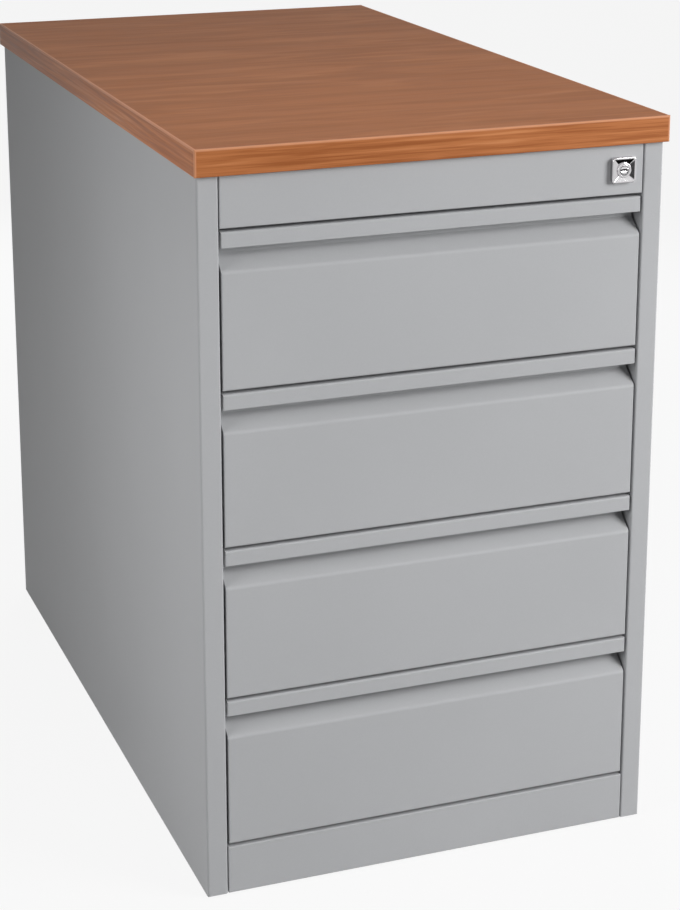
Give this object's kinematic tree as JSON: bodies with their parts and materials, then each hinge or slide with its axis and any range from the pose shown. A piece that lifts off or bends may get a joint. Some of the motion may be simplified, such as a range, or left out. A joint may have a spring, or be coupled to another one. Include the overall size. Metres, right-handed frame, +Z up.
{
  "type": "drawer pedestal",
  "caption": "Deep steel pedestal with a wood worktop, full-width lip pulls, full-extension drawers and a central cylinder lock.",
  "frame": {"origin": "on the floor, under the middle of the worktop", "axes": "+Z up, +X to the user's right when facing the drawers, +Y from the drawer fronts to the back"},
  "size_m": [0.46, 0.8, 0.72],
  "materials": {
    "powder_coat": "satin silver-grey powder coat",
    "wood_board": "matt cherry wood-effect laminate",
    "wood_edging": "satin cherry wood-effect edging",
    "lock_chrome": "polished chrome",
    "lock_barrel": "polished nickel",
    "lock_zinc": "bright zinc plate",
    "runner_zinc": "bright zinc plate",
    "zinc_fasteners": "bright zinc plate",
    "glide_plastic": "moulded acetal",
    "foot_plastic": "moulded black plastic"
  },
  "bodies": {
    "carcass": {"worktop_board": "wood_board", "worktop_end_edging": "wood_edging", "worktop_side_edging": "wood_edging", "worktop_screws": "zinc_fasteners", "top_front_rail": "powder_coat", "top_rear_rail": "powder_coat", "left_side_panel": "powder_coat", "right_side_panel": "powder_coat", "back_panel": "powder_coat", "back_panel_screws": "zinc_fasteners", "base_panel": "powder_coat", "foot_nuts": "zinc_fasteners", "plinth_panel": "powder_coat", "lock_fascia": "powder_coat", "left_rear_upright": "powder_coat", "right_rear_upright": "powder_coat", "runner_rivets": "zinc_fasteners", "lock_housing": "lock_chrome", "lock_nut": "zinc_fasteners", "lock_bar_guides": "glide_plastic", "drawer_1_runner_outer": "runner_zinc", "drawer_2_runner_outer": "runner_zinc", "drawer_3_runner_outer": "runner_zinc", "drawer_4_runner_outer": "runner_zinc"},
    "lock_barrel": {"lock_plug": "lock_barrel", "lock_cam": "lock_zinc"},
    "lock_bar": {"lock_bar": "lock_zinc"},
    "front_left_foot": {"front_left_foot": "foot_plastic"},
    "front_right_foot": {"front_right_foot": "foot_plastic"},
    "rear_left_foot": {"rear_left_foot": "foot_plastic"},
    "rear_right_foot": {"rear_right_foot": "foot_plastic"},
    "drawer_1": {"drawer_1_front": "powder_coat", "drawer_1_box": "powder_coat", "drawer_1_front_screws": "zinc_fasteners", "drawer_1_catch": "lock_zinc", "drawer_1_runner_inner": "runner_zinc"},
    "drawer_1_runner": {"drawer_1_runner_middle": "runner_zinc", "drawer_1_runner_pads": "glide_plastic"},
    "drawer_2": {"drawer_2_front": "powder_coat", "drawer_2_box": "powder_coat", "drawer_2_front_screws": "zinc_fasteners", "drawer_2_catch": "lock_zinc", "drawer_2_runner_inner": "runner_zinc"},
    "drawer_2_runner": {"drawer_2_runner_middle": "runner_zinc", "drawer_2_runner_pads": "glide_plastic"},
    "drawer_3": {"drawer_3_front": "powder_coat", "drawer_3_box": "powder_coat", "drawer_3_front_screws": "zinc_fasteners", "drawer_3_catch": "lock_zinc", "drawer_3_runner_inner": "runner_zinc"},
    "drawer_3_runner": {"drawer_3_runner_middle": "runner_zinc", "drawer_3_runner_pads": "glide_plastic"},
    "drawer_4": {"drawer_4_front": "powder_coat", "drawer_4_box": "powder_coat", "drawer_4_front_screws": "zinc_fasteners", "drawer_4_catch": "lock_zinc", "drawer_4_runner_inner": "runner_zinc"},
    "drawer_4_runner": {"drawer_4_runner_middle": "runner_zinc", "drawer_4_runner_pads": "glide_plastic"}
  },
  "joints": [
    {"name": "drawer_1_slide", "type": "slide", "parent": "carcass", "child": "drawer_1", "axis": [0, -1, 0], "range_m": [0, 0.68]},
    {"name": "drawer_2_slide", "type": "slide", "parent": "carcass", "child": "drawer_2", "axis": [0, -1, 0], "range_m": [0, 0.68]},
    {"name": "drawer_3_slide", "type": "slide", "parent": "carcass", "child": "drawer_3", "axis": [0, -1, 0], "range_m": [0, 0.68]},
    {"name": "drawer_4_slide", "type": "slide", "parent": "carcass", "child": "drawer_4", "axis": [0, -1, 0], "range_m": [0, 0.68]},
    {"name": "drawer_1_runner_slide", "type": "slide", "parent": "carcass", "child": "drawer_1_runner", "axis": [0, -1, 0], "range_m": [0, 0.34]},
    {"name": "drawer_2_runner_slide", "type": "slide", "parent": "carcass", "child": "drawer_2_runner", "axis": [0, -1, 0], "range_m": [0, 0.34]},
    {"name": "drawer_3_runner_slide", "type": "slide", "parent": "carcass", "child": "drawer_3_runner", "axis": [0, -1, 0], "range_m": [0, 0.34]},
    {"name": "drawer_4_runner_slide", "type": "slide", "parent": "carcass", "child": "drawer_4_runner", "axis": [0, -1, 0], "range_m": [0, 0.34]},
    {"name": "lock_turn", "type": "hinge", "parent": "carcass", "child": "lock_barrel", "pos_m": [0.1845, -0.394, 0.671], "axis": [0, 1, 0], "range_deg": [0, 90]},
    {"name": "lock_bar_slide", "type": "slide", "parent": "carcass", "child": "lock_bar", "axis": [0, 0, 1], "range_m": [0, 0.01414]},
    {"name": "front_left_foot_level", "type": "slide", "parent": "carcass", "child": "front_left_foot", "axis": [0, 0, -1], "range_m": [0, 0.012]},
    {"name": "front_right_foot_level", "type": "slide", "parent": "carcass", "child": "front_right_foot", "axis": [0, 0, -1], "range_m": [0, 0.012]},
    {"name": "rear_left_foot_level", "type": "slide", "parent": "carcass", "child": "rear_left_foot", "axis": [0, 0, -1], "range_m": [0, 0.012]},
    {"name": "rear_right_foot_level", "type": "slide", "parent": "carcass", "child": "rear_right_foot", "axis": [0, 0, -1], "range_m": [0, 0.012]}
  ],
  "couplings": [
    {"joint": "drawer_1_runner_slide", "follows": "drawer_1_slide", "ratio": 0.5},
    {"joint": "drawer_2_runner_slide", "follows": "drawer_2_slide", "ratio": 0.5},
    {"joint": "drawer_3_runner_slide", "follows": "drawer_3_slide", "ratio": 0.5},
    {"joint": "drawer_4_runner_slide", "follows": "drawer_4_slide", "ratio": 0.5},
    {"joint": "lock_turn", "follows": "lock_bar_slide", "rad_per_m": 111.07}
  ]
}
